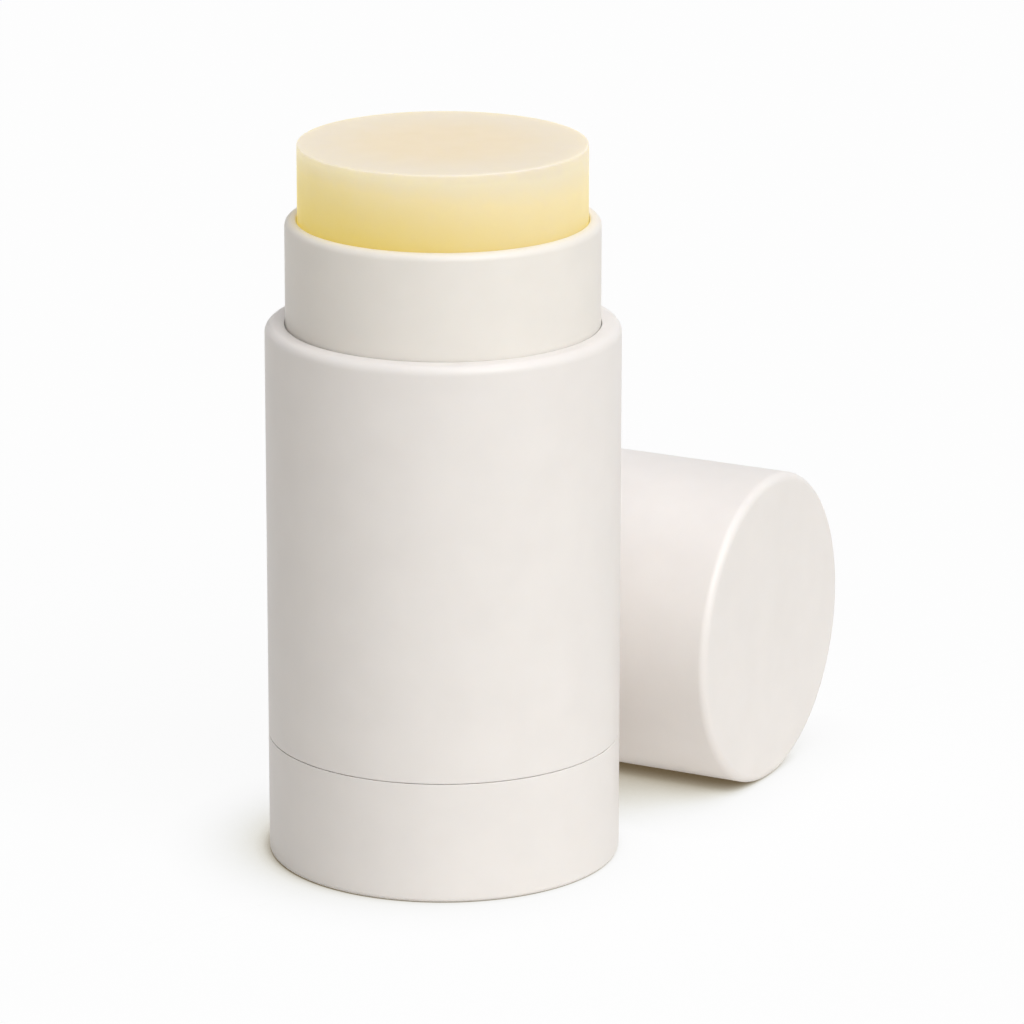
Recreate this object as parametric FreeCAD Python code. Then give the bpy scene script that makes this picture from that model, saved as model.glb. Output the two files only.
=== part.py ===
import FreeCAD, Part
import math
import os

# Twist-up anti-itch stick with its cap lying beside it. Millimetres, +Z up.
# The origin is the middle of the base knob's underside, on the surface the stick stands on.
# Turning the knob clockwise, as seen from below, turns the screw spindle inside the tube.
# Two keys on the tube's inner wall stop the platform from turning, so its nut climbs the
# left-hand thread and lifts the balm. The balm is drawn at the height it is used at.

V = FreeCAD.Vector
UP = V(0, 0, 1)

# Outside of the stick
body_diameter = 50.0        # barrel and base knob
knob_height = 17.4
seam_gap = 0.1              # running gap between the knob and the barrel
barrel_height = 59.8
barrel_wall = 2.8
rim_rounding = 1.3          # outer edge of the barrel's rim
rim_inner_rounding = 0.1
seam_rounding = 0.1         # edges either side of the seam
foot_rounding = 0.6         # edge the knob stands on
hidden_rounding = 0.3       # edges of the pieces inside

# Inner tube, whose top is the neck that the cap slides over
tube_wall = 1.65
neck_height = 14.95         # above the barrel's rim
neck_rounding = 1.0
neck_inner_rounding = 0.3
shoulder_width = 0.9        # flange that carries the barrel
shoulder_thickness = 1.9
bulkhead_thickness = 1.6    # floor of the balm's chamber, and the spindle's bearing
tube_end_gap = 1.2          # from the tube's lower end to the knob's floor

# Keys on the tube's inner wall, at the back of the stick
key_azimuths = (45.0, 135.0)
key_width = 1.6
key_depth = 0.9
key_root = 0.4              # how far the keys are rooted in the wall
key_clearance = 0.3
key_top_gap = 4.0           # from the keys' upper ends to the tube's rim

# Base knob
foot_width = 3.0            # ring that the stick stands on
foot_depth = 0.8            # how far the underside lies inside that ring
knob_floor = 1.6
knob_clearance = 0.3        # between the knob and all that it turns round
boss_wall = 2.2

# Snap bead that holds the knob on the tube, and bead that locks the barrel to it
snap_height = 8.3           # middle of the snap bead, above the surface
snap_depth = 0.5
snap_length = 1.7
lock_depth = 0.3
lock_length = 1.2
lock_height = 1.5           # middle of the lock bead, above the barrel's lower end
barrel_fit = 0.1            # between the barrel and the tube

# Screw spindle
lead = 4.0
thread_diameter = 9.0
thread_depth = 1.25
crest_width = 1.0
flank_run = 0.45            # how much wider the ridge is at its root, on each side
ridge_root = 0.12           # how far a ridge's flanks run on inside what carries it
thread_clearance = 0.25
journal_diameter = 9.2
journal_stand = 0.8         # journal above the bulkhead
bearing_clearance = 0.08
collar_diameter = 15.0
collar_thickness = 1.6
collar_gap = 0.3            # under the bulkhead
hex_across = 8.0            # hexagonal foot that the knob drives
hex_clearance = 0.05
hex_end_gap = 0.2
tip_chamfer = 0.6

# Elevator platform
platform_gap = 0.4          # above the bulkhead when the balm is right down
platform_clearance = 0.3    # to the tube's wall
platform_thickness = 1.6
skirt_height = 2.4
skirt_wall = 1.2
hub_diameter = 14.0
hub_length = 9.0
nut_margin = 1.0            # plain bore at each end of the hub
anchor_diameter = 28.4      # ring that holds the balm
anchor_height = 3.0
anchor_wall = 1.2
web_count = 4
web_height = 2.0

# Balm
balm_clearance = 0.15       # to the tube's wall
balm_stand = 10.7           # balm above the neck, as drawn
balm_sink = 1.0             # balm's top below the neck when it is right down
balm_rounding = 0.25
balm_cover = 7.0            # balm over the spindle's tip
well_clearance = 0.3        # round the spindle
well_end_gap = 0.6

# Cap
cap_clearance = 0.1         # round the neck
cap_wall = 0.9
cap_end = 1.5
cap_length = 30.0
cap_rounding = 1.2
cap_inner_rounding = 0.8
mouth_chamfer = 0.3
cap_yaw = 28.0              # closed end turned from +X towards -Y
cap_barrel_gap = 0.5        # to the barrel's side
cap_reach = 29.0            # from the point nearest the stick to the closed end

# Sizes that follow from those
body_r = body_diameter / 2
tube_r = body_r - barrel_wall - barrel_fit
bore_r = tube_r - tube_wall
barrel_bottom = knob_height + seam_gap
barrel_top = barrel_bottom + barrel_height
tube_top = barrel_top + neck_height
shoulder_r = tube_r + shoulder_width
bulkhead_top = barrel_bottom - shoulder_thickness
bulkhead_bottom = bulkhead_top - bulkhead_thickness
key_top = tube_top - key_top_gap
floor_top = foot_depth + knob_floor
journal_r = journal_diameter / 2
thread_r = thread_diameter / 2
core_r = thread_r - thread_depth
collar_top = bulkhead_bottom - collar_gap
collar_bottom = collar_top - collar_thickness
rise = balm_stand + balm_sink
platform_bottom = bulkhead_top + platform_gap + rise
disc_bottom = platform_bottom + skirt_height
disc_top = disc_bottom + platform_thickness
platform_r = bore_r - platform_clearance
hub_top = platform_bottom + hub_length
balm_r = bore_r - balm_clearance
balm_top = tube_top + balm_stand
groove_top = key_top + rise + key_clearance
spindle_top = tube_top - balm_sink - balm_cover
well_r = thread_r + well_clearance
well_top = spindle_top + rise + well_end_gap
thread_start = bulkhead_top + journal_stand + crest_width
cap_bore_r = tube_r + cap_clearance
cap_r = cap_bore_r + cap_wall


def turned(corners):
    """Solid of revolution about Z. A corner is (radius, height) or (radius, height, rounding)."""
    points = [V(c[0], 0, c[1]) for c in corners]
    roundings = [c[2] if len(c) > 2 else 0 for c in corners]
    ends, arcs = [], []
    for i, corner in enumerate(points):
        back = (points[i - 1] - corner).normalize()
        ahead = (points[(i + 1) % len(points)] - corner).normalize()
        half = back.getAngle(ahead) / 2
        reach = roundings[i] / math.tan(half)
        inwards = (back + ahead).normalize() * (roundings[i] / math.sin(half) - roundings[i])
        ends.append((corner + back * reach, corner + ahead * reach))
        if roundings[i]:
            arcs.append(Part.Arc(ends[i][0], corner + inwards, ends[i][1]).toShape())
    lines = []
    for i, (start, end) in enumerate(ends):
        lines.append(Part.LineSegment(ends[i - 1][1], start).toShape())
    wire = Part.Wire(Part.__sortEdges__(lines + arcs))
    return Part.Face(wire).revolve(V(0, 0, 0), UP, 360)


def bead(radius, depth, middle, length):
    """Corners of a bead that stands out by depth, its flanks at 45 degrees, from the bottom up."""
    half = length / 2
    return [(radius, middle - half), (radius + depth, middle - half + depth),
            (radius + depth, middle + half - depth), (radius, middle + half)]


def ridge(root_r, crest_r, root_width, top_width, start, turns, azimuth):
    """Left-hand helical ridge, which climbs from height start at the given azimuth."""
    sunk = ridge_root / abs(root_r - crest_r)
    sunk_r = root_r + (root_r - crest_r) * sunk
    half_root = (root_width + (root_width - top_width) * sunk) / 2
    half_top = top_width / 2
    corners = [V(sunk_r, 0, -half_root), V(crest_r, 0, -half_top),
               V(crest_r, 0, half_top), V(sunk_r, 0, half_root)]
    section = Part.makePolygon(corners + corners[:1])
    helix = Part.makeLongHelix(lead, lead * turns, crest_r, 0, True)
    solid = Part.Wire(helix.Edges).makePipeShell([section], True, True)
    solid.rotate(V(0, 0, 0), UP, azimuth)
    solid.translate(V(0, 0, start))
    return solid


def block(inner, outer, width, bottom, top, azimuth):
    """Radial block from inner to outer radius, turned to its azimuth."""
    solid = Part.makeBox(outer - inner, width, top - bottom, V(inner, -width / 2, bottom))
    solid.rotate(V(0, 0, 0), UP, azimuth)
    return solid


def hexagon(across, bottom, top):
    """Hexagonal prism about Z."""
    corner_r = across / 2 / math.cos(math.pi / 6)
    corners = [V(corner_r * math.cos(k * math.pi / 3), corner_r * math.sin(k * math.pi / 3), bottom)
               for k in range(7)]
    return Part.Face(Part.makePolygon(corners)).extrude(UP * (top - bottom))


def make_base_knob():
    """Knob with a ring to stand on, a snap groove for the tube and a hexagonal socket."""
    foot_r = body_r - foot_width
    wall_r = tube_r + knob_clearance
    recess_r = shoulder_r + knob_clearance
    recess_bottom = bulkhead_top - knob_clearance
    socket_across = hex_across + 2 * hex_clearance
    boss_r = socket_across / 2 / math.cos(math.pi / 6) + boss_wall
    groove_half = snap_length / 2 + knob_clearance
    groove_r = tube_r + snap_depth + knob_clearance
    knob = turned([
        (0, foot_depth), (foot_r, foot_depth), (foot_r, 0),
        (body_r, 0, foot_rounding), (body_r, knob_height, seam_rounding),
        (recess_r, knob_height), (recess_r, recess_bottom), (wall_r, recess_bottom),
        (wall_r, snap_height + groove_half), (groove_r, snap_height + groove_half),
        (groove_r, snap_height - groove_half), (wall_r, snap_height - groove_half),
        (wall_r, floor_top), (boss_r, floor_top), (boss_r, collar_bottom), (0, collar_bottom)])
    return knob.cut(hexagon(socket_across, floor_top, collar_bottom))


def make_screw_spindle():
    """Hexagonal foot, thrust collar, journal and a left-hand threaded shaft."""
    journal_top = bulkhead_top + journal_stand
    shaft = turned([
        (0, collar_bottom), (collar_diameter / 2, collar_bottom, hidden_rounding),
        (collar_diameter / 2, collar_top, hidden_rounding), (journal_r, collar_top),
        (journal_r, journal_top), (core_r, journal_top),
        (core_r, spindle_top - tip_chamfer), (core_r - tip_chamfer, spindle_top),
        (0, spindle_top)])
    foot = hexagon(hex_across, floor_top + hex_end_gap, collar_bottom)
    root_width = crest_width + 2 * flank_run
    turns = (spindle_top - tip_chamfer - root_width - thread_start) / lead
    thread = ridge(core_r, thread_r, root_width, crest_width, thread_start, turns, 0)
    return shaft.fuse([foot, thread]).removeSplitter()


def make_inner_tube():
    """Tube with the neck, the shoulder, the bulkhead that carries the spindle, and two keys."""
    tube = turned([
        (journal_r + bearing_clearance, bulkhead_bottom), (bore_r, bulkhead_bottom),
        (bore_r, floor_top + tube_end_gap), (tube_r, floor_top + tube_end_gap, hidden_rounding)]
        + bead(tube_r, snap_depth, snap_height, snap_length)
        + [(tube_r, bulkhead_top), (shoulder_r, bulkhead_top),
           (shoulder_r, barrel_bottom), (tube_r, barrel_bottom)]
        + bead(tube_r, lock_depth, barrel_bottom + lock_height, lock_length)
        + [(tube_r, tube_top, neck_rounding), (bore_r, tube_top, neck_inner_rounding),
           (bore_r, bulkhead_top), (journal_r + bearing_clearance, bulkhead_top)])
    keys = [block(bore_r - key_depth, bore_r + key_root, key_width, bulkhead_top - key_root,
                  key_top, azimuth) for azimuth in key_azimuths]
    return tube.fuse(keys).removeSplitter()


def make_outer_barrel():
    """Barrel with a rounded rim, seated on the tube's shoulder, and a groove for its lock bead."""
    wall_r = body_r - barrel_wall
    groove = bead(wall_r, lock_depth, barrel_bottom + lock_height, lock_length)
    return turned([
        (wall_r, barrel_bottom), (body_r, barrel_bottom, seam_rounding),
        (body_r, barrel_top, rim_rounding), (wall_r, barrel_top, rim_inner_rounding)]
        + groove[::-1])


def make_elevator_platform():
    """Disc with a skirt, a threaded hub, and a ring and webs that hold the balm."""
    hub_r = hub_diameter / 2
    nut_r = thread_r + thread_clearance
    anchor_r = anchor_diameter / 2
    platform = turned([
        (nut_r, platform_bottom), (hub_r, platform_bottom), (hub_r, disc_bottom),
        (platform_r - skirt_wall, disc_bottom), (platform_r - skirt_wall, platform_bottom),
        (platform_r, platform_bottom), (platform_r, disc_top),
        (anchor_r, disc_top), (anchor_r, disc_top + anchor_height),
        (anchor_r - anchor_wall, disc_top + anchor_height), (anchor_r - anchor_wall, disc_top),
        (hub_r, disc_top), (hub_r, hub_top), (nut_r, hub_top)])
    webs = [block(hub_r - anchor_wall / 2, anchor_r - anchor_wall / 2, anchor_wall,
                  disc_bottom + platform_thickness / 2, disc_top + web_height,
                  360 * k / web_count) for k in range(web_count)]
    gap_width = lead - crest_width - 2 * thread_clearance
    tip_width = gap_width - 2 * flank_run
    nut_start = platform_bottom + nut_margin + gap_width / 2
    nut_turns = (hub_length - 2 * nut_margin - gap_width) / lead
    phase = 360 * (thread_start + lead / 2 - nut_start) / lead
    nut = ridge(nut_r, core_r + thread_clearance, gap_width, tip_width,
                nut_start, nut_turns, phase)
    notches = [block(bore_r - key_depth - key_clearance, body_r, key_width + 2 * key_clearance,
                     platform_bottom, disc_top, azimuth) for azimuth in key_azimuths]
    return platform.fuse(webs + [nut]).cut(notches)


def make_balm(platform):
    """Round stick of balm, moulded round the platform, with grooves for the keys.

    It is poured while it is wound down. Its surface then lies above the keys' upper ends, so
    the grooves end short of its top.
    """
    stick = turned([
        (0, disc_top), (balm_r, disc_top), (balm_r, balm_top, balm_rounding), (0, balm_top)])
    well = Part.makeCylinder(well_r, well_top - disc_top, V(0, 0, disc_top))
    grooves = [block(bore_r - key_depth - key_clearance, body_r, key_width + 2 * key_clearance,
                     disc_top, groove_top, azimuth) for azimuth in key_azimuths]
    return stick.cut([well] + grooves).cut(platform)


def make_cap():
    """Plain round cap, lying on its side behind the barrel with its mouth turned away."""
    cap = turned([
        (cap_bore_r + mouth_chamfer, 0), (cap_r, 0, mouth_chamfer),
        (cap_r, cap_length, cap_rounding), (0, cap_length), (0, cap_length - cap_end),
        (cap_bore_r, cap_length - cap_end, cap_inner_rounding), (cap_bore_r, mouth_chamfer)])
    cap.translate(UP * -cap_length)
    cap.rotate(V(0, 0, 0), V(0, 1, 0), 90)
    cap.translate(V(cap_reach, body_r + cap_barrel_gap + cap_r, cap_r))
    cap.rotate(V(0, 0, 0), UP, -cap_yaw)
    return cap


platform_solid = make_elevator_platform()
nodes = {
    "cap": make_cap(),
    "outer_barrel": make_outer_barrel(),
    "inner_tube": make_inner_tube(),
    "balm": make_balm(platform_solid),
    "elevator_platform": platform_solid,
    "screw_spindle": make_screw_spindle(),
    "base_knob": make_base_knob(),
}

os.makedirs("parts", exist_ok=True)
for name, shape in nodes.items():
    solid = shape.Solids[0]
    assert len(shape.Solids) == 1 and solid.isValid(), name
    solid.exportStep("parts/" + name + ".step")
    print(name, round(solid.Volume / 1000, 2), "cm3")
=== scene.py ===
import math

import bpy
import numpy as np
from mathutils import Matrix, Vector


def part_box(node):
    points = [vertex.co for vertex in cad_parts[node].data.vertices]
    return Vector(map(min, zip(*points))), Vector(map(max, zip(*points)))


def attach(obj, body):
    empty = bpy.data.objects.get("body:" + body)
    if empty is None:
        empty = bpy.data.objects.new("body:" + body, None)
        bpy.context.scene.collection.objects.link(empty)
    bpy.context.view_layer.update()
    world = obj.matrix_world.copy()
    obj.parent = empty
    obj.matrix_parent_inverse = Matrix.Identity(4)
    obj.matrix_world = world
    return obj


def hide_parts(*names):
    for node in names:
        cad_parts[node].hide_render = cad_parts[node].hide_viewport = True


# Looks of a twist-up anti-itch stick: a white barrel and base knob, the tube's neck above
# them, the balm that is wound out of it, and the cap lying beside it. Sizes are in
# millimetres until a mesh is made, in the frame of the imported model.

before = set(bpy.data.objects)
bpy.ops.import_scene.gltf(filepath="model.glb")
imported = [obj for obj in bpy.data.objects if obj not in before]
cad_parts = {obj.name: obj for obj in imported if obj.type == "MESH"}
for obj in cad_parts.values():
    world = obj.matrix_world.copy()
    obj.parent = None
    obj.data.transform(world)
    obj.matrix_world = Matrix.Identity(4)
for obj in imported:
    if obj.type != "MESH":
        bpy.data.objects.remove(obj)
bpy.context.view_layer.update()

MM = 0.001

# Roundings and walls
edge_rounding = 0.08        # edges that the mould leaves nearly sharp
step_height = 0.02          # between the two rows of points where keys or grooves end
rim_rounding = 1.3          # barrel's rim, outside
rim_inner_rounding = 0.1
seam_rounding = 0.1         # either side of the seam between barrel and knob
foot_rounding = 0.6
neck_rounding = 1.0
neck_inner_rounding = 0.3
balm_rounding = 0.25
cap_rounding = 1.2
cap_inner_rounding = 0.8
mouth_chamfer = 0.3
hidden_rounding = 0.3       # tube's lower end
barrel_wall = 2.8
tube_wall = 1.65
cap_wall = 0.9
cap_end = 1.5

# Gaps and what is inside
barrel_fit = 0.1            # between the barrel and the tube
lock_height = 1.5           # bead and groove that lock them, above the barrel's lower end
lock_depth = 0.3
lock_length = 1.2
snap_height = 8.3           # bead that the knob snaps over
snap_depth = 0.5
snap_length = 1.7
shoulder_thickness = 1.9
bulkhead_thickness = 1.6
bearing_r = 4.68            # hole for the spindle
key_azimuths = (45.0, 135.0)
key_width = 1.6
key_depth = 0.9
key_top_gap = 4.0           # from the keys' upper ends to the tube's rim
balm_sink = 1.0             # balm's top below that rim when it is right down
key_clearance = 0.3
foot_width = 3.0
foot_depth = 0.8
knob_floor = 1.6
knob_clearance = 0.3
socket_across = 8.1         # hexagonal socket for the spindle
boss_wall = 2.2
collar_stand = 1.9          # from the bulkhead down to the top of the knob's boss
ring_r = 14.2               # the platform's ring, hub and spindle, which the balm is moulded round
ring_wall = 1.2
ring_height = 3.0
hub_r = 7.0
hub_height = 5.0
well_r = 4.8
well_cover = 6.4            # balm above the well
cap_yaw = 28.0              # cap's closed end, turned from +X towards -Y


def mm_box(node):
    """Lowest and highest corner of a CAD node, in mm."""
    return [np.array(corner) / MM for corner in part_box(node)]


def mm_corners(node):
    """Corners of a CAD node's mesh, in mm."""
    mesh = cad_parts[node].data
    corners = np.empty(3 * len(mesh.vertices), np.float32)
    mesh.vertices.foreach_get("co", corners)
    return corners.reshape(-1, 3) / MM


barrel_low, barrel_high = mm_box("outer_barrel")
tube_low, tube_high = mm_box("inner_tube")
knob_high = mm_box("base_knob")[1]
balm_low, balm_high = mm_box("balm")

body_r = barrel_high[0]
tube_r = body_r - barrel_wall - barrel_fit
bore_r = tube_r - tube_wall
shoulder_r = tube_high[0]
seam_top = barrel_low[2]
shoulder_bottom = seam_top - shoulder_thickness
bulkhead_bottom = shoulder_bottom - bulkhead_thickness
key_top = tube_high[2] - key_top_gap
balm_top = balm_high[2]
groove_top = balm_top + balm_sink - key_top_gap + key_clearance


# Surfaces

def rounded(corners, closed=True, steps=8, hold=0.12):
    """Outline through (radius, height, rounding) corners, as an array of (radius, height) rows.

    A corner becomes an arc tangent to its two sides. The arc's middle lies on the corner's
    bisector, rounding / sin(half the corner's angle) away, and its directions from there turn
    evenly from one tangent point to the other. One more point before and after each arc keeps
    the sides between them flat. An open outline keeps its first and last corner as they are.
    """
    corners = np.array([(*c, edge_rounding)[:3] for c in corners])
    points, rounding = corners[:, :2], corners[:, 2:]
    back = np.roll(points, 1, axis=0) - points
    ahead = np.roll(points, -1, axis=0) - points
    side = np.linalg.norm(ahead, axis=1, keepdims=True)
    back /= np.linalg.norm(back, axis=1, keepdims=True)
    ahead /= side
    half = np.arccos(np.clip((back * ahead).sum(1, keepdims=True), -1, 1)) / 2
    reach = rounding / np.tan(half)
    bisector = (back + ahead) / np.linalg.norm(back + ahead, axis=1, keepdims=True)
    middle = points + bisector * rounding / np.sin(half)
    first = (points + back * reach - middle) / rounding
    last = (points + ahead * reach - middle) / rounding
    share = np.linspace(0, 1, steps + 1)[None, :, None]
    sweep = (math.pi - 2 * half)[:, None]
    turned_to = (np.sin((1 - share) * sweep) * first[:, None]
                 + np.sin(share * sweep) * last[:, None]) / np.sin(sweep)
    arcs = middle[:, None] + turned_to * rounding[:, None]
    straight = side - reach - np.roll(reach, -1, axis=0)
    step = np.minimum(hold, straight / 3)
    before = arcs[:, :1] + (back * np.roll(step, 1, axis=0))[:, None]
    after = arcs[:, -1:] + (ahead * step)[:, None]
    rows = np.concatenate([before, arcs, after], axis=1)
    if closed:
        return rows.reshape(-1, 2)
    return np.concatenate([points[:1], rows[1:-1].reshape(-1, 2), points[-1:]])


def bead(radius, depth, middle, length):
    """Corners of a bead that stands out by depth, its flanks at 45 degrees, from the bottom up."""
    half = length / 2
    return [(radius, middle - half), (radius + depth, middle - half + depth),
            (radius + depth, middle + half - depth), (radius, middle + half)]


def around(edges=(), segments=288):
    """Azimuths once round the axis in radians: even steps, with the given ones among them."""
    even = np.arange(segments) * math.tau / segments
    return np.unique(np.concatenate([even, np.asarray(edges, float).ravel() % math.tau]))


def flat_edges(width, distance, gap=0.0004):
    """Azimuths just inside and just outside both edges of the flats at the keys' azimuths."""
    half = math.asin(width / 2 / distance)
    offsets = np.array([-half - gap, -half + gap, half - gap, half + gap])
    return np.radians(key_azimuths)[:, None] + offsets


def flats(azimuths, width, distance):
    """Distance from the axis of a flat at each key's azimuth, and endless beside the flats.

    A flat at a distance d is d / cos(a) from the axis, at the angle a from its middle.
    """
    off = azimuths[None] - np.radians(key_azimuths)[:, None]
    off = np.abs((off + math.pi) % math.tau - math.pi).min(axis=0)
    half = math.asin(width / 2 / distance)
    return np.where(off < half, distance / np.cos(off), np.inf)


def lathe(outline, azimuths, radii=None):
    """Points of an outline turned about Z: x = r cos(a), y = r sin(a), z = height.

    radii gives r for each row and azimuth where the section isn't round.
    """
    if radii is None:
        radii = outline[:, :1] * np.ones_like(azimuths)
    heights = outline[:, 1:] * np.ones_like(azimuths)
    return np.stack([radii * np.cos(azimuths), radii * np.sin(azimuths), heights], axis=-1)


def skin(name, points, closed=True):
    """Mesh object over a grid of points in mm, whose rows run round the axis.

    Four neighbours make one face, seen from outside in anticlockwise order. A row that lies
    in a single point becomes a pole, and the faces at it have three corners.
    """
    rows, columns = points.shape[:2]
    index = np.arange(rows * columns).reshape(rows, columns)
    poles = np.ptp(points, axis=1).max(axis=1) < 1e-6
    index[poles] = index[poles, :1]
    if closed:
        index = np.vstack([index, index[:1]])
    index = np.hstack([index, index[:, :1]])
    quads = np.stack([index[:-1, :-1], index[:-1, 1:], index[1:, 1:], index[1:, :-1]], axis=-1)
    quads = quads.reshape(-1, 4)
    lower = quads[:, 0] == quads[:, 1]
    upper = quads[:, 2] == quads[:, 3]
    fans = np.concatenate([quads[lower][:, [0, 2, 3]], quads[upper][:, [0, 1, 2]]])
    quads = quads[~lower & ~upper]
    used = np.unique(np.concatenate([quads.ravel(), fans.ravel()]))
    faces = np.searchsorted(used, quads).tolist() + np.searchsorted(used, fans).tolist()
    mesh = bpy.data.meshes.new(name)
    mesh.from_pydata((points.reshape(-1, 3)[used] * MM).tolist(), [], faces)
    mesh.shade_smooth()
    mesh.set_sharp_from_angle(angle=math.radians(35))
    made = bpy.data.objects.new(name, mesh)
    bpy.context.scene.collection.objects.link(made)
    return made


def place(made, body, node, material):
    """Gives a finished piece its body and material, and hides the CAD node that it stands for."""
    made.data.materials.append(material)
    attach(made, body)
    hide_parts(node)


# Materials

def linear(code):
    """Linear red, green, blue and alpha of an sRGB hex colour."""
    srgb = np.array([int(code[i:i + 2], 16) for i in (1, 3, 5)]) / 255
    light = np.where(srgb <= 0.04045, srgb / 12.92, ((srgb + 0.055) / 1.055) ** 2.4)
    return (*light.tolist(), 1.0)


def add(tree, kind, inputs=(), stops=(), **settings):
    """Adds a node with its settings. An input is a value, or the output that it is linked to.

    stops are the positions and sRGB hex colours along a colour ramp, lowest first.
    """
    made = tree.nodes.new(kind)
    for name, value in settings.items():
        setattr(made, name, value)
    for socket, value in dict(inputs).items():
        if isinstance(value, bpy.types.NodeSocket):
            tree.links.new(value, made.inputs[socket])
        else:
            made.inputs[socket].default_value = value
    for index, (position, code) in enumerate(stops):
        if index == len(made.color_ramp.elements):
            made.color_ramp.elements.new(position)
        made.color_ramp.elements[index].position = position
        made.color_ramp.elements[index].color = linear(code)
    return made


def new_tree(owner):
    """Empty node tree of a material or a world."""
    owner.use_nodes = True
    owner.node_tree.nodes.clear()
    return owner.node_tree


def moulded_polypropylene(name, pale, deep, scatter):
    """Injection-moulded polypropylene out of a fine-eroded mould.

    It is milky white and slightly see-through at its skin, so light softens across its edges.
    The mould's fine grain breaks its gloss into a satin sheen. The grain is 0.05 mm on the
    real one, drawn at 0.3 mm so that it shows, and slow flow marks run along the draw.
    """
    grain_size = 0.3
    mottle_size = 7.0
    flow_width = 3.0
    flow_length = 45.0
    grain_depth = 0.012
    material = bpy.data.materials.new(name)
    tree = new_tree(material)
    place_of = add(tree, "ShaderNodeTexCoord").outputs["Object"]
    grain = add(tree, "ShaderNodeTexNoise", {
        "Vector": place_of, "Scale": 1 / (grain_size * MM), "Detail": 2.0, "Roughness": 0.55})
    mottle = add(tree, "ShaderNodeTexNoise", {
        "Vector": place_of, "Scale": 1 / (mottle_size * MM), "Detail": 3.0, "Roughness": 0.5})
    drawn = add(tree, "ShaderNodeMapping", {
        "Vector": place_of,
        "Scale": (1 / (flow_width * MM), 1 / (flow_width * MM), 1 / (flow_length * MM))})
    flow = add(tree, "ShaderNodeTexNoise", {
        "Vector": drawn.outputs["Vector"], "Scale": 1.0, "Detail": 2.0})
    colour = add(tree, "ShaderNodeValToRGB", {"Fac": mottle.outputs["Fac"]}, stops=[
        (0.3, deep), (0.7, pale)])
    gloss = add(tree, "ShaderNodeMapRange", {
        "Value": flow.outputs["Fac"], "From Min": 0.3, "From Max": 0.7,
        "To Min": 0.4, "To Max": 0.46})
    skin_bump = add(tree, "ShaderNodeBump", {
        "Height": grain.outputs["Fac"], "Strength": 0.35, "Distance": grain_depth * MM})
    shader = add(tree, "ShaderNodeBsdfPrincipled", {
        "Base Color": colour.outputs["Color"], "Roughness": gloss.outputs["Result"], "IOR": 1.49,
        "Subsurface Weight": scatter, "Subsurface Radius": (1.0, 0.85, 0.7),
        "Subsurface Scale": 0.8 * MM, "Normal": skin_bump.outputs["Normal"]})
    add(tree, "ShaderNodeOutputMaterial", {"Surface": shader.outputs["BSDF"]})
    return material


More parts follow.
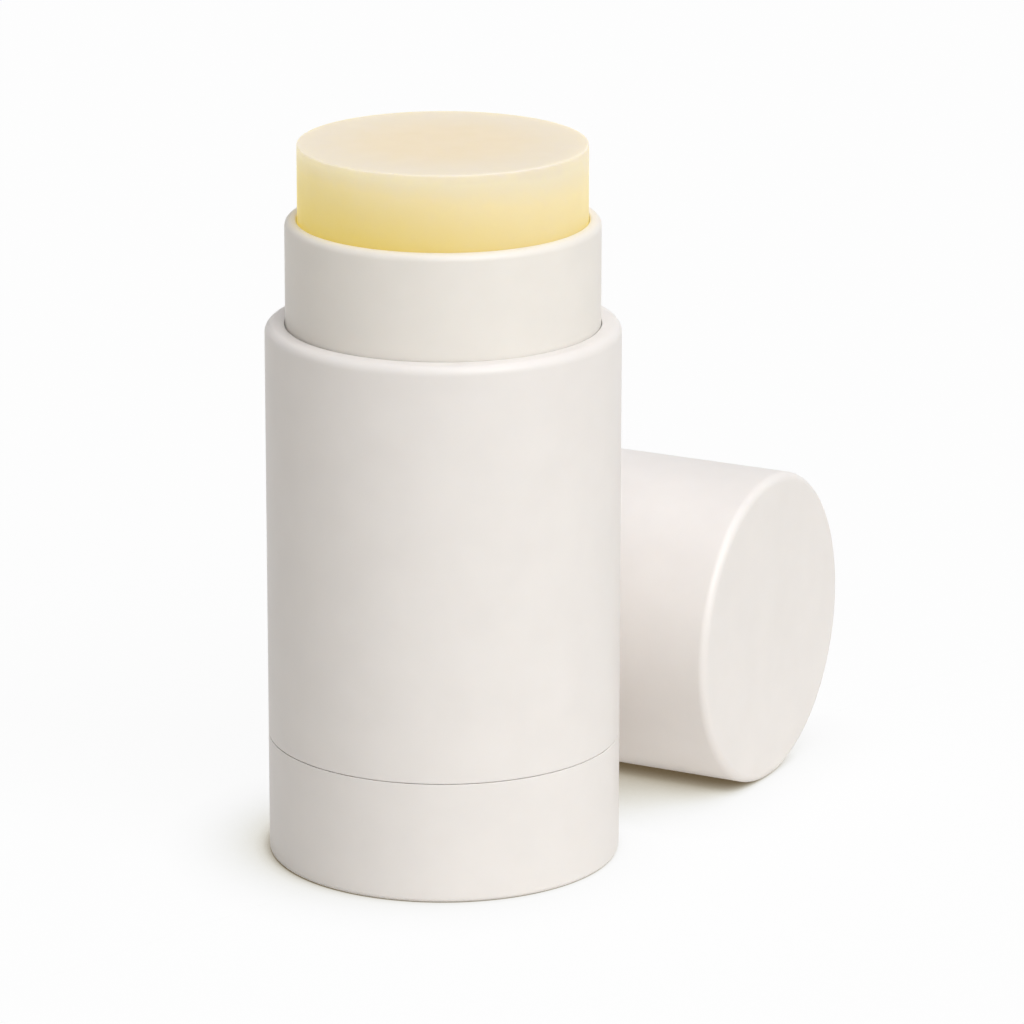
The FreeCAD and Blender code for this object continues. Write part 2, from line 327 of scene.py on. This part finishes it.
def set_wax_balm(name):
    """Balm of waxes and oils, poured warm into the tube and set there.

    It is a see-through yellow in depth, and light spreads several millimetres through it, red
    furthest and blue least. A faint warm glow comes out evenly all round: it is painted light,
    an emission that stands in for what has wandered through the whole stick. Near its upper
    edge a paler cream ring is painted light, for the light that comes in there from two sides,
    and it deepens a little towards the middle of its top. Its yellow deepens down its side in
    painted shade, for the light that is lost into the tube, and less so towards +X, where the
    paling is painted light from the key lamp's side. Its skin is smooth and dull, with the faint
    clouding of wax crystals and slow ripples.
    """
    cloud_size = 4.0
    ripple_size = 9.0
    crystal_size = 0.35
    ripple_depth = 0.25
    crystal_share = 0.03        # of the ripples' depth
    cloudiness = 0.06           # how far the clouds shift the depth of the colour
    spread = 8.0                # how far red light goes between two turns
    painted_glow_level = 0.46          # level of the painted glow, an emission for light that wanders through the whole stick
    painted_shade_length = 17.0          # from the top to where the painted shade down its side is deepest
    painted_ring_width = 14.0           # of the paler ring, painted light from two sides, that fades into the top face
    painted_light_side = 0.44            # how much less deep the colour is painted on the +X side, towards the key lamp: painted light
    painted_light_reach = 0.8            # share of the radius over which the painted light pales it, either side of the axis
    material = bpy.data.materials.new(name)
    tree = new_tree(material)
    place_of = add(tree, "ShaderNodeTexCoord").outputs["Object"]
    clouds = add(tree, "ShaderNodeTexNoise", {
        "Vector": place_of, "Scale": 1 / (cloud_size * MM), "Detail": 3.0, "Roughness": 0.5})
    ripples = add(tree, "ShaderNodeTexNoise", {
        "Vector": place_of, "Scale": 1 / (ripple_size * MM), "Detail": 1.0})
    crystals = add(tree, "ShaderNodeTexNoise", {
        "Vector": place_of, "Scale": 1 / (crystal_size * MM), "Detail": 2.0})
    along = add(tree, "ShaderNodeSeparateXYZ", {"Vector": place_of})
    # Painted shade: the yellow deepens with depth below the top, for the light lost into the tube
    depth = add(tree, "ShaderNodeMapRange", {
        "Value": along.outputs["Z"], "From Min": balm_top * MM,
        "From Max": (balm_top - painted_shade_length) * MM})
    clouded = add(tree, "ShaderNodeMath", {
        0: clouds.outputs["Fac"], 1: cloudiness, 2: -cloudiness / 2}, operation="MULTIPLY_ADD")
    # Painted light: paler towards +X, the side the key lamp shines from
    painted_light_paling = add(tree, "ShaderNodeMapRange", {
        "Value": along.outputs["X"], "From Min": balm_low[0] * painted_light_reach * MM,
        "From Max": balm_high[0] * painted_light_reach * MM, "To Min": 1.0, "To Max": 1 - painted_light_side},
        interpolation_type="SMOOTHSTEP")
    painted_depth_and_clouds = add(tree, "ShaderNodeMath", {
        0: depth.outputs["Result"], 1: painted_light_paling.outputs["Result"],
        2: clouded.outputs["Value"]}, operation="MULTIPLY_ADD")
    painted_shade_down_side = add(tree, "ShaderNodeValToRGB", {"Fac": painted_depth_and_clouds.outputs["Value"]}, stops=[
        (0.0, "#9E99A2"), (0.06, "#AFAAAA"), (0.18, "#B8AAA2"),
        (0.35, "#B2A08B"), (0.55, "#AD9975"), (0.7, "#A9946F")])
    # Painted glow: an emission on a part that is no lamp, yellower lower down
    glow = add(tree, "ShaderNodeValToRGB", {"Fac": painted_depth_and_clouds.outputs["Value"]}, stops=[
        (0.0, "#FFEEB8"), (0.18, "#FFED82"), (0.55, "#FFE665")])
    level = add(tree, "ShaderNodeVectorMath", {
        0: place_of, 1: (1.0, 1.0, 0.0)}, operation="MULTIPLY")
    from_axis = add(tree, "ShaderNodeVectorMath", {0: level.outputs["Vector"]}, operation="LENGTH")
    # Painted light: a paler ring near the top edge, deeper towards the middle of the top
    painted_ring_fade = add(tree, "ShaderNodeMapRange", {
        "Value": from_axis.outputs["Value"], "From Min": balm_high[0] * MM,
        "From Max": (balm_high[0] - painted_ring_width) * MM}, interpolation_type="SMOOTHSTEP")
    # A Mix node takes its factor at 0 and its colours at 6 and 7, and gives their mix at 2.
    colour = add(tree, "ShaderNodeMix", {
        0: painted_ring_fade.outputs["Result"], 6: painted_shade_down_side.outputs["Color"], 7: linear("#A3948E")},
        data_type="RGBA")
    bumps = add(tree, "ShaderNodeMath", {
        0: crystals.outputs["Fac"], 1: crystal_share, 2: ripples.outputs["Fac"]},
        operation="MULTIPLY_ADD")
    skin_bump = add(tree, "ShaderNodeBump", {
        "Height": bumps.outputs["Value"], "Strength": 0.4, "Distance": ripple_depth * MM})
    dullness = add(tree, "ShaderNodeMapRange", {
        "Value": clouds.outputs["Fac"], "From Min": 0.3, "From Max": 0.7,
        "To Min": 0.5, "To Max": 0.58})
    shader = add(tree, "ShaderNodeBsdfPrincipled", {
        "Base Color": colour.outputs[2], "Roughness": dullness.outputs["Result"], "IOR": 1.44,
        "Subsurface Weight": 1.0, "Subsurface Radius": (1.0, 0.85, 0.3),
        "Subsurface Scale": spread * MM, "Normal": skin_bump.outputs["Normal"],
        "Emission Color": glow.outputs["Color"], "Emission Strength": painted_glow_level})
    add(tree, "ShaderNodeOutputMaterial", {"Surface": shader.outputs["BSDF"]})
    return material


# Pieces

def make_outer_barrel():
    """Barrel with a rounded rim and a groove for the tube's lock bead: its outline, turned."""
    wall_r = body_r - barrel_wall
    groove = bead(wall_r, lock_depth, seam_top + lock_height, lock_length)
    outline = rounded([
        (wall_r, seam_top), (body_r, seam_top, seam_rounding),
        (body_r, barrel_high[2], rim_rounding), (wall_r, barrel_high[2], rim_inner_rounding)]
        + groove[::-1])
    return skin("barrel_shell", lathe(outline, around()))


def make_inner_tube():
    """Tube with its neck, shoulder and bulkhead: its outline, turned.

    Two keys stand in its bore, where the radius is no more than the keys' flats allow.
    """
    outline = rounded([
        (bearing_r, bulkhead_bottom), (bore_r, bulkhead_bottom),
        (bore_r, tube_low[2]), (tube_r, tube_low[2], hidden_rounding)]
        + bead(tube_r, snap_depth, snap_height, snap_length)
        + [(tube_r, shoulder_bottom), (shoulder_r, shoulder_bottom),
           (shoulder_r, seam_top), (tube_r, seam_top)]
        + bead(tube_r, lock_depth, seam_top + lock_height, lock_length)
        + [(tube_r, tube_high[2], neck_rounding), (bore_r, tube_high[2], neck_inner_rounding),
           (bore_r, shoulder_bottom), (bearing_r, shoulder_bottom)], steps=6)
    radius, height = outline.T
    chamber = (radius < bore_r + edge_rounding / 2) & (height > shoulder_bottom - edge_rounding / 2)
    above_keys = np.flatnonzero(chamber & (height > key_top))[-1] + 1
    outline = np.insert(outline, above_keys, [
        (bore_r, key_top + step_height / 2), (bore_r, key_top - step_height / 2)], axis=0)
    radius, height = outline.T
    chamber = (radius < bore_r + edge_rounding / 2) & (height > shoulder_bottom - edge_rounding / 2)
    chamber &= height < key_top
    azimuths = around(flat_edges(key_width, bore_r - key_depth))
    keys = flats(azimuths, key_width, bore_r - key_depth)
    radii = np.where(chamber[:, None], np.minimum(radius[:, None], keys), radius[:, None])
    return skin("tube_neck", lathe(outline, azimuths, radii))


def make_balm():
    """Stick of balm, moulded round the platform's ring and hub and round the spindle.

    Its outline is turned, and two flats down its back leave room for the tube's keys. They
    end short of its top, because it is poured while it is wound down, over the keys' ends.
    """
    balm_r = balm_high[0]
    bottom = balm_low[2]
    ring_inner = ring_r - ring_wall
    outline = rounded([
        (0, balm_top - well_cover), (well_r, balm_top - well_cover),
        (well_r, bottom + hub_height), (hub_r, bottom + hub_height), (hub_r, bottom),
        (ring_inner, bottom), (ring_inner, bottom + ring_height),
        (ring_r, bottom + ring_height), (ring_r, bottom), (balm_r, bottom),
        (balm_r, balm_top, balm_rounding), (0, balm_top)], closed=False)
    slot_width = key_width + 2 * key_clearance
    slot_r = bore_r - key_depth - key_clearance
    azimuths = around(flat_edges(slot_width, slot_r))
    above_groove = np.flatnonzero(outline[:, 1] < groove_top)[-1] + 1
    outline = np.insert(outline, above_groove, [
        (balm_r, groove_top - step_height / 2), (balm_r, groove_top + step_height / 2)], axis=0)
    radius, height = outline[:, :1], outline[:, 1:]
    grooved = np.minimum(radius, flats(azimuths, slot_width, slot_r))
    radii = np.where(height < groove_top, grooved, radius)
    return skin("balm_stick", lathe(outline, azimuths, radii), closed=False)


def make_base_knob():
    """Knob with a ring to stand on, a snap groove and a boss: its outline, turned.

    The socket in its boss is hexagonal: there the radius grows by 1 / cos(angle from the
    middle of the nearest flat).
    """
    knob_top = knob_high[2]
    foot_r = body_r - foot_width
    wall_r = tube_r + knob_clearance
    recess_r = shoulder_r + knob_clearance
    recess_bottom = shoulder_bottom - knob_clearance
    floor_top = foot_depth + knob_floor
    boss_top = bulkhead_bottom - collar_stand
    boss_r = socket_across / 2 / math.cos(math.pi / 6) + boss_wall
    groove = bead(wall_r, snap_depth, snap_height, snap_length + 2 * knob_clearance)
    outline = rounded([
        (0, foot_depth), (foot_r, foot_depth), (foot_r, 0), (body_r, 0, foot_rounding),
        (body_r, knob_top, seam_rounding), (recess_r, knob_top), (recess_r, recess_bottom),
        (wall_r, recess_bottom)] + groove[::-1] + [
        (wall_r, floor_top), (boss_r, floor_top), (boss_r, boss_top),
        (socket_across / 2, boss_top), (socket_across / 2, floor_top), (0, floor_top)],
        closed=False)
    azimuths = around()
    sixth = math.pi / 3
    corner_growth = 1 / np.cos(azimuths % sixth - sixth / 2)
    radius, height = outline.T
    socket = (radius < boss_r - boss_wall) & (height > foot_depth + edge_rounding)
    radii = radius[:, None] * np.where(socket[:, None], corner_growth, 1.0)
    return skin("knob_shell", lathe(outline, azimuths, radii), closed=False)


def make_cap():
    """Plain round cap: its outline turned about its own axis, which is then laid down.

    The solid's corners give where its ends lie along that axis, and its axis's place across.
    """
    yaw = math.radians(cap_yaw)
    along = np.array([math.cos(yaw), -math.sin(yaw), 0.0])
    across = np.array([math.sin(yaw), math.cos(yaw), 0.0])
    cap_r = mm_box("cap")[1][2] / 2
    cap_bore_r = cap_r - cap_wall
    reach = mm_corners("cap") @ along
    mouth, end = reach.min(), reach.max()
    beside = mm_corners("cap") @ across
    axis = across * (beside.min() + beside.max()) / 2 + (0, 0, cap_r)
    outline = rounded([
        (0, end - cap_end), (cap_bore_r, end - cap_end, cap_inner_rounding),
        (cap_bore_r, mouth + mouth_chamfer), (cap_bore_r + mouth_chamfer, mouth),
        (cap_r, mouth, mouth_chamfer), (cap_r, end, cap_rounding), (0, end)], closed=False)
    basis = np.stack([across, np.cross(along, across), along])
    return skin("cap_shell", lathe(outline, around()) @ basis + axis, closed=False)


# Studio

def soft_light(name, level, colour, azimuth, elevation):
    """Wide sun lamp. Azimuth 0 is in front of the object, and 90 on its right.

    A lamp of pi W/m2 that shines straight on a surface shows its colour as it is written, so
    a level of 1 is pi W/m2.
    """
    light = bpy.data.lights.new(name, "SUN")
    light.energy = level * math.pi
    light.angle = math.radians(45)
    light.color = linear(colour)[:3]
    lamp = bpy.data.objects.new(name, light)
    bpy.context.scene.collection.objects.link(lamp)
    lamp.rotation_euler = (math.radians(90 - elevation), 0, math.radians(azimuth))


def seen_rays(tree):
    """One for rays that show a surface as it is seen, straight or in gloss or glass."""
    path = add(tree, "ShaderNodeLightPath")
    gloss = add(tree, "ShaderNodeMath", {
        0: path.outputs["Is Camera Ray"], 1: path.outputs["Is Glossy Ray"]}, operation="MAXIMUM")
    glass = add(tree, "ShaderNodeMath", {
        0: gloss.outputs["Value"], 1: path.outputs["Is Transmission Ray"]}, operation="MAXIMUM")
    return glass.outputs["Value"]


def light_stage():
    """Soft key light from the right of the camera, a soft overhead light and a pale fill."""
    soft_light("key", level=0.665, colour="#FCFEFF", azimuth=33, elevation=41)
    soft_light("overhead", level=0.337, colour="#FBF8FF", azimuth=33, elevation=88)
    world = bpy.data.worlds.new("studio")
    bpy.context.scene.world = world
    tree = new_tree(world)
    seen = seen_rays(tree)
    fill = add(tree, "ShaderNodeBackground", {"Color": linear("#FDFFF3"), "Strength": 0.15})
    white = add(tree, "ShaderNodeBackground", {"Color": linear("#FFFFFF"), "Strength": 1.0})
    mixed = add(tree, "ShaderNodeMixShader", {
        0: seen, 1: fill.outputs["Background"], 2: white.outputs["Background"]})
    add(tree, "ShaderNodeOutputWorld", {"Surface": mixed.outputs["Shader"]})


def make_floor():
    """Plain matt white floor that keeps the shadows.

    It lights the object as a white sheet does, but not from close under it. Where it is seen,
    a light of its own brings it up to the white of the background. That light goes out towards
    whatever stands close over the floor, in a soft shadow and in a dark line where the two
    touch. Both are stronger on the side away from the lamp, because they are measured round a
    direction that leans towards the lamp.
    """
    half_width = 6000.0
    shade = 0.06                # how much of the lamps' own shadow is seen
    contact_reach = 16.0        # how far from the object its contact shadow fades out
    touch_reach = 3.0           # how far the dark line where it touches the floor fades out
    sheet_light = 0.51          # what the open sheet adds to the light on the object
    white = 0.99                # level of the open floor where it is seen
    lean, bearing = math.radians(30), math.radians(-20)
    corners = np.array([(-1, -1, 0), (1, -1, 0), (1, 1, 0), (-1, 1, 0)]) * half_width * MM
    mesh = bpy.data.meshes.new("floor")
    mesh.from_pydata(corners.tolist(), [], [(0, 1, 2, 3)])
    floor = bpy.data.objects.new("floor", mesh)
    bpy.context.scene.collection.objects.link(floor)
    material = bpy.data.materials.new("matt_white_sheet")
    tree = new_tree(material)
    seen = seen_rays(tree)
    leaning = add(tree, "ShaderNodeCombineXYZ", {
        "X": math.cos(bearing) * math.sin(lean), "Y": math.sin(bearing) * math.sin(lean),
        "Z": math.cos(lean)})
    near = add(tree, "ShaderNodeAmbientOcclusion", {
        "Distance": contact_reach * MM, "Normal": leaning.outputs["Vector"]})
    touching = add(tree, "ShaderNodeAmbientOcclusion", {
        "Distance": touch_reach * MM, "Normal": leaning.outputs["Vector"]})
    sheet = add(tree, "ShaderNodeBsdfDiffuse", {"Color": linear("#BCB9B2")})
    open_sheet = add(tree, "ShaderNodeValToRGB", {"Fac": touching.outputs["AO"]}, stops=[
        (0.3, "#000000"), (0.9, "#E9E7E8")])
    table = add(tree, "ShaderNodeEmission", {
        "Color": open_sheet.outputs["Color"], "Strength": sheet_light})
    plain = add(tree, "ShaderNodeAddShader", {
        0: sheet.outputs["BSDF"], 1: table.outputs["Emission"]})
    soft = add(tree, "ShaderNodeBsdfDiffuse", {"Color": (shade, shade, shade, 1)})
    contact = add(tree, "ShaderNodeValToRGB", {"Fac": near.outputs["AO"]}, stops=[
        (0.05, "#8C7A55"), (0.4, "#E1DED4"), (0.6, "#F4F4F2"), (0.8, "#FCFCFC"), (1.0, "#FFFFFF")])
    edge = add(tree, "ShaderNodeValToRGB", {"Fac": touching.outputs["AO"]}, stops=[
        (0.2, "#A59B8A"), (0.55, "#F5F4F2"), (0.85, "#FFFFFF")])
    darkened = add(tree, "ShaderNodeVectorMath", {
        0: contact.outputs["Color"], 1: edge.outputs["Color"]}, operation="MULTIPLY")
    glow = add(tree, "ShaderNodeEmission", {
        "Color": darkened.outputs["Vector"], "Strength": white - shade})
    lifted = add(tree, "ShaderNodeAddShader", {
        0: soft.outputs["BSDF"], 1: glow.outputs["Emission"]})
    mixed = add(tree, "ShaderNodeMixShader", {
        0: seen, 1: plain.outputs["Shader"], 2: lifted.outputs["Shader"]})
    add(tree, "ShaderNodeOutputMaterial", {"Surface": mixed.outputs["Shader"]})
    mesh.materials.append(material)


def make_camera():
    """Camera in front of the stick, looking slightly down on it."""
    distance, height = 812.3, 286.9
    camera = bpy.data.objects.new("camera", bpy.data.cameras.new("camera"))
    bpy.context.scene.collection.objects.link(camera)
    camera.data.sensor_width = 36.0
    camera.data.lens = 210.73
    yaw, pitch, roll = math.radians(0.681), math.radians(16.289), math.radians(0.063)
    camera.matrix_world = (
        Matrix.Translation((0, -distance * MM, height * MM)) @ Matrix.Rotation(-yaw, 4, "Z")
        @ Matrix.Rotation(math.pi / 2 - pitch, 4, "X") @ Matrix.Rotation(roll, 4, "Z"))
    bpy.context.scene.camera = camera


shell_plastic = moulded_polypropylene("moulded_white_polypropylene", "#EDE8E4", "#EAE5E1", 0.15)
neck_plastic = moulded_polypropylene("moulded_warm_polypropylene", "#EEE9E2", "#EBE6DF", 0.2)
natural_plastic = moulded_polypropylene("moulded_natural_polypropylene", "#E6E5DF", "#DFDED6", 0.6)
balm_wax = set_wax_balm("set_wax_balm")

place(make_outer_barrel(), "case", "outer_barrel", shell_plastic)
place(make_inner_tube(), "case", "inner_tube", neck_plastic)
place(make_cap(), "case", "cap", shell_plastic)
place(make_base_knob(), "base", "base_knob", shell_plastic)
place(make_balm(), "elevator", "balm", balm_wax)

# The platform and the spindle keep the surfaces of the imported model.
for hidden in ("elevator_platform", "screw_spindle"):
    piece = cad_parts[hidden]
    for material_slot in piece.material_slots:
        material_slot.material = natural_plastic

make_camera()
light_stage()
make_floor()
bpy.context.scene.view_settings.view_transform = "Standard"
